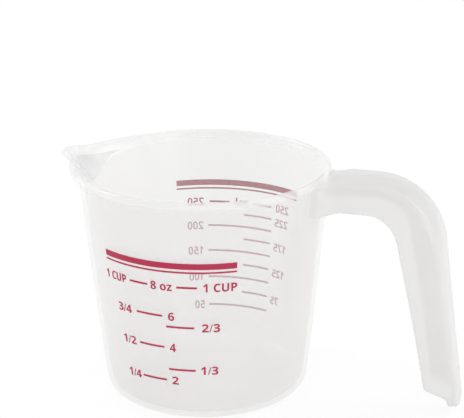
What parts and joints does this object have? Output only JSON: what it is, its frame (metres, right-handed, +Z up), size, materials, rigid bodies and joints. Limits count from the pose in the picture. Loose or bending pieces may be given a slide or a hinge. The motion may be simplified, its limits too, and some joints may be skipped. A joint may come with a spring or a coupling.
{
  "type": "measuring cup",
  "caption": "Tapered translucent plastic measuring cup with a pouring spout, an open-channel hook handle and printed graduation lines.",
  "frame": {"origin": "middle of the flat underside, on the cup's axis, at table height", "axes": "+Z up along the cup's axis, +X towards the handle, -X towards the pouring spout, -Y towards the front print in cups, +Y towards the back print in millilitres"},
  "size_m": [0.1519, 0.0922, 0.0858],
  "materials": {
    "polypropylene": "milky translucent injection-moulded polypropylene, semi-gloss",
    "red_ink": "red screen-printed ink"
  },
  "bodies": {
    "root": {"cup_moulding": "polypropylene", "back_100_ml_line": "red_ink", "back_125_ml_line": "red_ink", "back_150_ml_line": "red_ink", "back_175_ml_line": "red_ink", "back_200_ml_line": "red_ink", "back_225_ml_line": "red_ink", "back_250_ml_line_left": "red_ink", "back_250_ml_line_right": "red_ink", "back_50_ml_line": "red_ink", "back_75_ml_line": "red_ink", "front_half_cup_line": "red_ink", "front_one_cup_line_left": "red_ink", "front_one_cup_line_right": "red_ink", "front_quarter_cup_line": "red_ink", "front_third_cup_line": "red_ink", "front_three_quarter_cup_line": "red_ink", "front_two_thirds_cup_line": "red_ink"}
  },
  "joints": []
}
